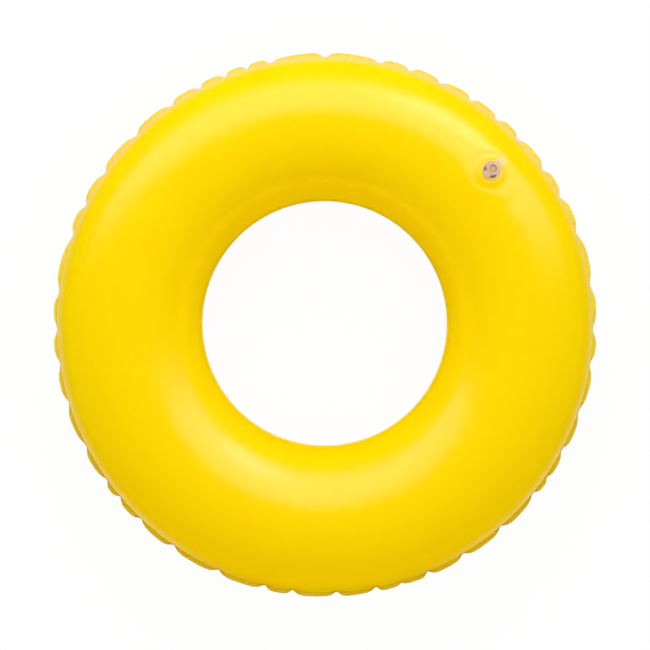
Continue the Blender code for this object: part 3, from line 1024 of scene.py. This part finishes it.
def film_paint(name):
    """Glossy pigmented vinyl film."""
    paint = Paint(name, IOR=1.6, **GLOWING)
    weld_and_shade = paint.stored("weld_and_shade")
    cloud = paint.noise(18.0, 3.0)
    fine = paint.noise(2600.0, 2.0)
    colour = paint.mix(paint.step(cloud, 0.3, 0.75) * 0.25, YELLOW, YELLOW_DEEP)
    # Welds are paler; the stored numbers also carry painted shade along the valve's weld line.
    colour = paint.mix(paint.step(weld_and_shade, 0, 1) * 0.8, colour, YELLOW_WELD)
    colour = paint.mix(paint.step(weld_and_shade, 1, 2), colour, EDGE_AND_WELD_SHADE)
    roughness = 0.17 + paint.noise(420.0, 4.0, 0.65) * 0.07 + weld_and_shade * 0.06
    uneven = paint.shape(paint.noise(34.0, 2.0), distance=0.0005)
    for x, y, turn, half_length in CREASES:
        spot = paint.node("ShaderNodeMapping", {"vector_type": "TEXTURE"}, {
            "Vector": paint.place(), "Location": (x, y, 0), "Rotation": (0, 0, math.radians(turn)),
            "Scale": (half_length, CREASE_WIDE, 10),
        })
        uneven = paint.shape(1 - paint.step(paint.length(spot), 0.0, 1.0), CREASE_HIGH, uneven)
    grain = paint.shape(fine, distance=0.000012, under=uneven)
    return paint.finish(Base_Color=colour, Roughness=roughness, Normal=grain)


give_material(film_paint("yellow film"), top_film, bottom_film)

# %% [markdown]
# ## The moulded vinyl
#
# The disc and the skirt are yellow, and the rest of the valve is clear vinyl that looks greyish
# pink. Where it is thin the yellow film shines through, and on the strap's bend that pale tint is
# also a painted highlight. Deep places get a brown painted shade, darkest in the gaps beside the
# stopper, so the stored numbers mix those colours in. Clear vinyl throws next to no shadow, so none
# is drawn.

# %% Make the moulded materials
CLEAR = (0.66, 0.46, 0.31, 1)
CLEAR_DARK = (0.57, 0.39, 0.25, 1)
# Painted shade: brown for deep places, dark brown for the gaps beside the stopper.
DEEP_SHADE_TINT = (0.46, 0.32, 0.17, 1)
GAP_SHADE_TINT = (0.18, 0.115, 0.008, 1)
# Pale yellow where the vinyl is thin, and a painted highlight on the strap's bend.
THIN_AND_HIGHLIGHT_TINT = (0.82, 0.68, 0.26, 1)
MOULDED_YELLOW = (0.86, 0.63, 0.002, 1)
MOULDED_DEEP = (0.86, 0.57, 0.002, 1)


def moulded_paint(name, colour, darker, **constants):
    """Soft moulded vinyl, a little cloudy, and pebbled by its mould."""
    paint = Paint(name, IOR=1.5, **constants)
    cloud = paint.noise(260.0, 3.0)
    tint = paint.mix(paint.step(cloud, 0.3, 0.7) * 0.5, colour, darker)
    # Painted shade in deep places and gaps, and a painted highlight on the strap's bend.
    deep_shade = paint.stored("deep_shade")
    tint = paint.mix(paint.step(deep_shade, 0, 1), tint, DEEP_SHADE_TINT)
    tint = paint.mix(paint.step(deep_shade, 1, 2), tint, GAP_SHADE_TINT)
    tint = paint.mix(paint.stored("thin_and_highlight"), tint, THIN_AND_HIGHLIGHT_TINT)
    rough = 0.22 + paint.noise(900.0, 3.0) * 0.12
    pebbled = paint.shape(paint.noise(1500.0, 2.0), distance=0.00002)
    return paint.finish(Base_Color=tint, Roughness=rough, Normal=pebbled)


valve_yellow = moulded_paint("yellow moulded vinyl", MOULDED_YELLOW, MOULDED_DEEP, **GLOWING)
valve_clear = moulded_paint("clear moulded vinyl", CLEAR, CLEAR_DARK, Transmission_Weight=0.2)
clear_pieces = [valve_stem, stopper, strap, flap]
give_material(valve_yellow, valve_disc, valve_skirt)
give_material(valve_clear, *clear_pieces)
for piece in clear_pieces:
    piece.visible_shadow = False

# %% [markdown]
# ## What moves with what
#
# The films, the disc, the stem, the stopper and the flap each ride on one of the bodies of the
# imported model and stand for its solid, which is hidden. The skirt and the strap stand for the
# neck and the strap of the model, whose solids are hidden too. On the real ring they bend: the skirt
# from the ring to the stem as the stem is pressed in, and the strap from the stem to the stopper as
# that swings open. Here they ride on no body and stay where they are made.


rides = [
    (top_film, "ring", "top_skin", "top_film"),
    (bottom_film, "ring", "bottom_skin", "bottom_film"),
    (valve_disc, "ring", "valve_flange", "valve_disc"),
    (valve_stem, "stem", "valve_stem", "stem_vinyl"),
    (stopper, "plug", "valve_plug", "stopper_vinyl"),
    (flap, "flap", "check_flap", "flap_vinyl"),
]
for piece, body, node, slot in rides:
    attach(piece, body)
    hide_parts(node)

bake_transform(valve_skirt)
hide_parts("valve_neck")
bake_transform(strap)
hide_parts("plug_strap")

# %% [markdown]
# ## The floor
#
# The ring lies on a white table. The floor looks white to the camera through Light Path, and still
# takes the ring's shadow. In reflections its colour is painted by place: warm and dark, a painted
# shade with painted yellow light from the ring, but for a painted pale band just outside the ring,
# which is coolest on the far side and missing on the near side.

# %% Make the floor
FLOOR_R = 4.0
FLOOR_SIDES = 96
FLOOR_LOW = -0.0002
WHITE = (1, 1, 1, 1)
TABLE = (0.82, 0.82, 0.82, 1)
# Painted reflection colours: a painted shade near the ring and a painted pale band beside it.
REFLECTED_PAINTED_SHADE = (0.3, 0.16, 0, 1)
REFLECTED_BAND_BESIDE = (0.75, 0.55, 0.42, 1)
REFLECTED_BAND_FAR_SIDE = (0.75, 0.45, 0.8, 1)
BAND_BEGINS = (0.225, 0.26)  # from the ring's middle
BAND_ENDS = (0.26, 0.35)
BAND_WIDER = 0.02  # on the far side
SEEN_WHITE = 0.95


def floor_paint():
    """White to the camera, with the ring's shadow on it, and painted in reflections with shade and a pale
    band.
    """
    paint = Paint("white table")
    along = paint.part(paint.place(), "Y")
    far = paint.length(paint.place())
    north = along / far
    reach = far - paint.step(north, 0.2, 0.95) * BAND_WIDER
    # A painted band of light, seen only in reflections.
    painted_band = paint.step(far, *BAND_BEGINS) * (1 - paint.step(reach, *BAND_ENDS))
    painted_band = painted_band * paint.step(north, -0.98, -0.75)
    rays = ("Is Camera Ray", "Is Glossy Ray", "Is Transmission Ray")
    direct, glossy, through = [paint.node("ShaderNodeLightPath", {}, {}, name) for name in rays]
    shown = direct * SEEN_WHITE + glossy + through * SEEN_WHITE
    pale = paint.mix(paint.step(north, 0.2, 0.7), REFLECTED_BAND_BESIDE, REFLECTED_BAND_FAR_SIDE)
    mirrored = paint.mix(painted_band, REFLECTED_PAINTED_SHADE, pale)
    colour = paint.mix(glossy, WHITE, mirrored)
    plain = paint.node("ShaderNodeBsdfDiffuse", {}, {"Color": TABLE})
    white = paint.node("ShaderNodeEmission", {}, {"Color": colour})
    return paint.show(paint.node("ShaderNodeMixShader", {}, {0: shown, 1: plain, 2: white}))


def stage_object(name, corners, material):
    """One flat face of the studio, which isn't part of the ring."""
    data = bpy.data.meshes.new(name)
    data.from_pydata(corners, [], [list(range(len(corners)))])
    data.materials.append(material)
    item = new_object(name, data)
    print(name, "of", len(corners), "corners")
    return item


bearings = np.linspace(0, math.tau, FLOOR_SIDES + 1)[:-1]
corners = [(FLOOR_R * math.cos(a), FLOOR_R * math.sin(a), FLOOR_LOW) for a in bearings]
stage_object("floor", corners, floor_paint())

# %% [markdown]
# ## The window
#
# One wide soft window stands beyond the ring's far side and gives the long pale highlights on
# every wall that looks that way. Gloss alone sees it, so the highlights can be set without
# changing the light on the film.

# %% Make the window
WINDOW_FAR = 3.0
WINDOW_HALF = 14.0
WINDOW_LOW = 0.02
WINDOW_HIGH = 11.0
WINDOW_COLOUR = (1, 0.82, 0.98, 1)
WINDOW_BRIGHT = 1.4
HOT_BRIGHT = 1.7
# From here on 1 is as far aside, or as high, as the window is away.
SIDE_FADES = [(1.2, 2.8, 0.75), (3.0, 4.6, 0.25)]  # start, end and share of each
LOW_FADE = (0.0, 0.5)
HIGH_FADE = (1.0, 3.2)
HIGH_SLANT = 0.5
HOT_ACROSS, HOT_HIGH = 0.6, 0.55
HOT_SPREAD = 0.22  # square of the hot patch's reach


def window_paint():
    """Brightest low in the middle, with one hot patch, and fading upwards and to the sides."""
    paint = Paint("soft window")
    scaled = {0: paint.place(), "Scale": 1 / WINDOW_FAR}
    spot = paint.node("ShaderNodeVectorMath", {"operation": "SCALE"}, scaled)
    across = paint.part(spot, "X")
    high = paint.part(spot, "Z")
    beside = paint.node("ShaderNodeMath", {"operation": "ABSOLUTE"}, {0: across})
    side = 1
    for start, end, share in SIDE_FADES:
        side = side - share * paint.step(beside, start, end)
    glow = side * paint.step(high, *LOW_FADE)
    glow = glow * (1 - paint.step(high - across * HIGH_SLANT, *HIGH_FADE)) * WINDOW_BRIGHT
    hot = (across - HOT_ACROSS) ** 2 + (high - HOT_HIGH) ** 2
    glow = glow + (1 - paint.step(hot, 0.0, HOT_SPREAD)) * HOT_BRIGHT
    return paint.show(paint.node("ShaderNodeEmission", {}, {"Color": WINDOW_COLOUR, "Strength": glow}))


corners = [(-WINDOW_HALF, WINDOW_FAR, WINDOW_LOW), (WINDOW_HALF, WINDOW_FAR, WINDOW_LOW)]
corners += [(WINDOW_HALF, WINDOW_FAR, WINDOW_HIGH), (-WINDOW_HALF, WINDOW_FAR, WINDOW_HIGH)]
window = stage_object("window", corners, window_paint())
window.visible_camera = False
window.visible_diffuse = False
window.visible_transmission = False
window.visible_shadow = False

# %% [markdown]
# ## The lamps
#
# The film itself is lit by the even daylight of the room, by one lamp beyond the far side, by the
# glow of the table in the hole, and by a faint warm light from the near side. Gloss sees none of
# them.


# %% Set the lamps
def panel(name, centre, aim, size, power, colour=(1, 1, 1)):
    """A soft square light that neither the camera nor gloss sees."""
    data = bpy.data.lights.new(name, "AREA")
    data.shape = "SQUARE"
    data.size = size
    data.energy = power
    data.color = colour
    lamp = new_object(name, data)
    lamp.location = centre
    lamp.rotation_euler = (Vector(aim) - Vector(centre)).to_track_quat("-Z", "Y").to_euler()
    lamp.visible_camera = False
    lamp.visible_glossy = False
    print(name, power, "W")


panel("far lamp", centre=(0, 2.1, 2.1), aim=(0, 0, 0), size=1.2, power=42)
panel("table glow", centre=(0, 0, 0.003), aim=(0, 0, 1), size=0.15, power=0.12)
panel("warm wall", centre=(0, -2.4, 0.45), aim=(0, 0, 0), size=1.2, power=7, colour=(1, 0.08, 0))
world = bpy.data.worlds.new("daylight of the room")
world.use_nodes = True
sky = world.node_tree.nodes["Background"]
sky.inputs["Color"].default_value = WHITE
sky.inputs["Strength"].default_value = 1.0
world.cycles_visibility.glossy = False
bpy.context.scene.world = world

# %% [markdown]
# ## The camera
#
# The ring is seen from straight above with a long lens. The ring's middle is the picture's middle
# but for a tenth of a pixel each way, and a pixel is 0.88 mm at the height of the weld.

# %% Set the camera
PIXEL = 0.00088
PICTURE = 650
RING_AT = (325.1, 324.9)
CAMERA_HIGH = 8.0

camera_data = bpy.data.cameras.new("camera")
camera_data.sensor_width = 36
camera_data.lens = camera_data.sensor_width * CAMERA_HIGH / (PIXEL * PICTURE)
camera_data.clip_end = 50
camera = new_object("camera", camera_data)
shift_x = (PICTURE / 2 - RING_AT[0]) * PIXEL
shift_y = (RING_AT[1] - PICTURE / 2) * PIXEL
camera.location = (shift_x, shift_y, LIFT + CAMERA_HIGH)
bpy.context.scene.camera = camera
bpy.context.scene.view_settings.view_transform = "Standard"
print("lens", round(camera_data.lens), "mm")
